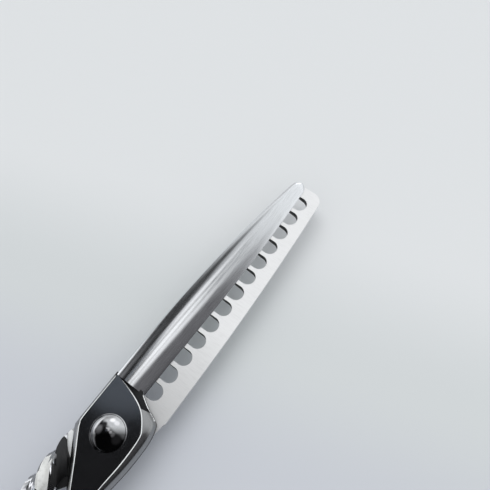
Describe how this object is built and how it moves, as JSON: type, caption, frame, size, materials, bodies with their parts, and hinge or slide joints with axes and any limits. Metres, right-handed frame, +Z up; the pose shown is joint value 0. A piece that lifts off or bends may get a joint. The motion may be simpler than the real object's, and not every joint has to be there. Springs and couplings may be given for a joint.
{
  "type": "thinning shears",
  "caption": "Thinning shears with one convex-ground straight blade, one notched blade, twisted shanks, finger rings and a ball-bearing pivot with a tension dial.",
  "frame": {"origin": "on the pivot axis, in the flat back face of the tension dial, which rests on the table", "axes": "+X from the pivot to the blade tips, +Z up through the pivot to the domed bolt head, +Y to the side of the straight blade's spine"},
  "size_m": [0.1658, 0.0741, 0.0107],
  "materials": {
    "mirror_steel": "mirror-polished tool steel",
    "satin_steel": "fine satin, ground flat",
    "handle_steel": "bright polished",
    "spring_steel": "tempered, lightly oiled",
    "bearing_bronze": "turned",
    "glide_plastic": "slippery white plastic",
    "soft_rubber": "matt black"
  },
  "bodies": {
    "finger_half": {"toothed_blade": "satin_steel", "finger_handle": "handle_steel", "pivot_bolt": "mirror_steel", "head_rim_ring": "handle_steel", "glide_washer": "glide_plastic", "spring_washer": "spring_steel", "click_plate": "spring_steel", "finger_rest": "handle_steel", "finger_rest_stud": "spring_steel", "finger_ring_insert": "soft_rubber"},
    "thumb_half": {"straight_blade": "mirror_steel", "thumb_handle": "handle_steel", "pivot_bush": "bearing_bronze", "bearing_race": "spring_steel", "bumper": "soft_rubber", "thumb_ring_insert": "soft_rubber"},
    "bearing": {"ball_cage": "bearing_bronze", "bearing_balls": "spring_steel"},
    "dial": {"tension_dial": "handle_steel", "dial_nut": "bearing_bronze"}
  },
  "joints": [
    {"name": "blade_opening", "type": "hinge", "parent": "finger_half", "child": "thumb_half", "pos_m": [0, 0, 0.006], "axis": [0, 0, 1], "range_deg": [0, 60]},
    {"name": "bearing_roll", "type": "hinge", "parent": "finger_half", "child": "bearing", "pos_m": [0, 0, 0.0082], "axis": [0, 0, 1], "range_deg": [0, 30]},
    {"name": "dial_turn", "type": "hinge", "parent": "finger_half", "child": "dial", "pos_m": [0, 0, 0.001], "axis": [0, 0, 1], "range_deg": [-90, 90]}
  ],
  "couplings": [
    {"joint": "bearing_roll", "follows": "blade_opening", "ratio": 0.5}
  ]
}
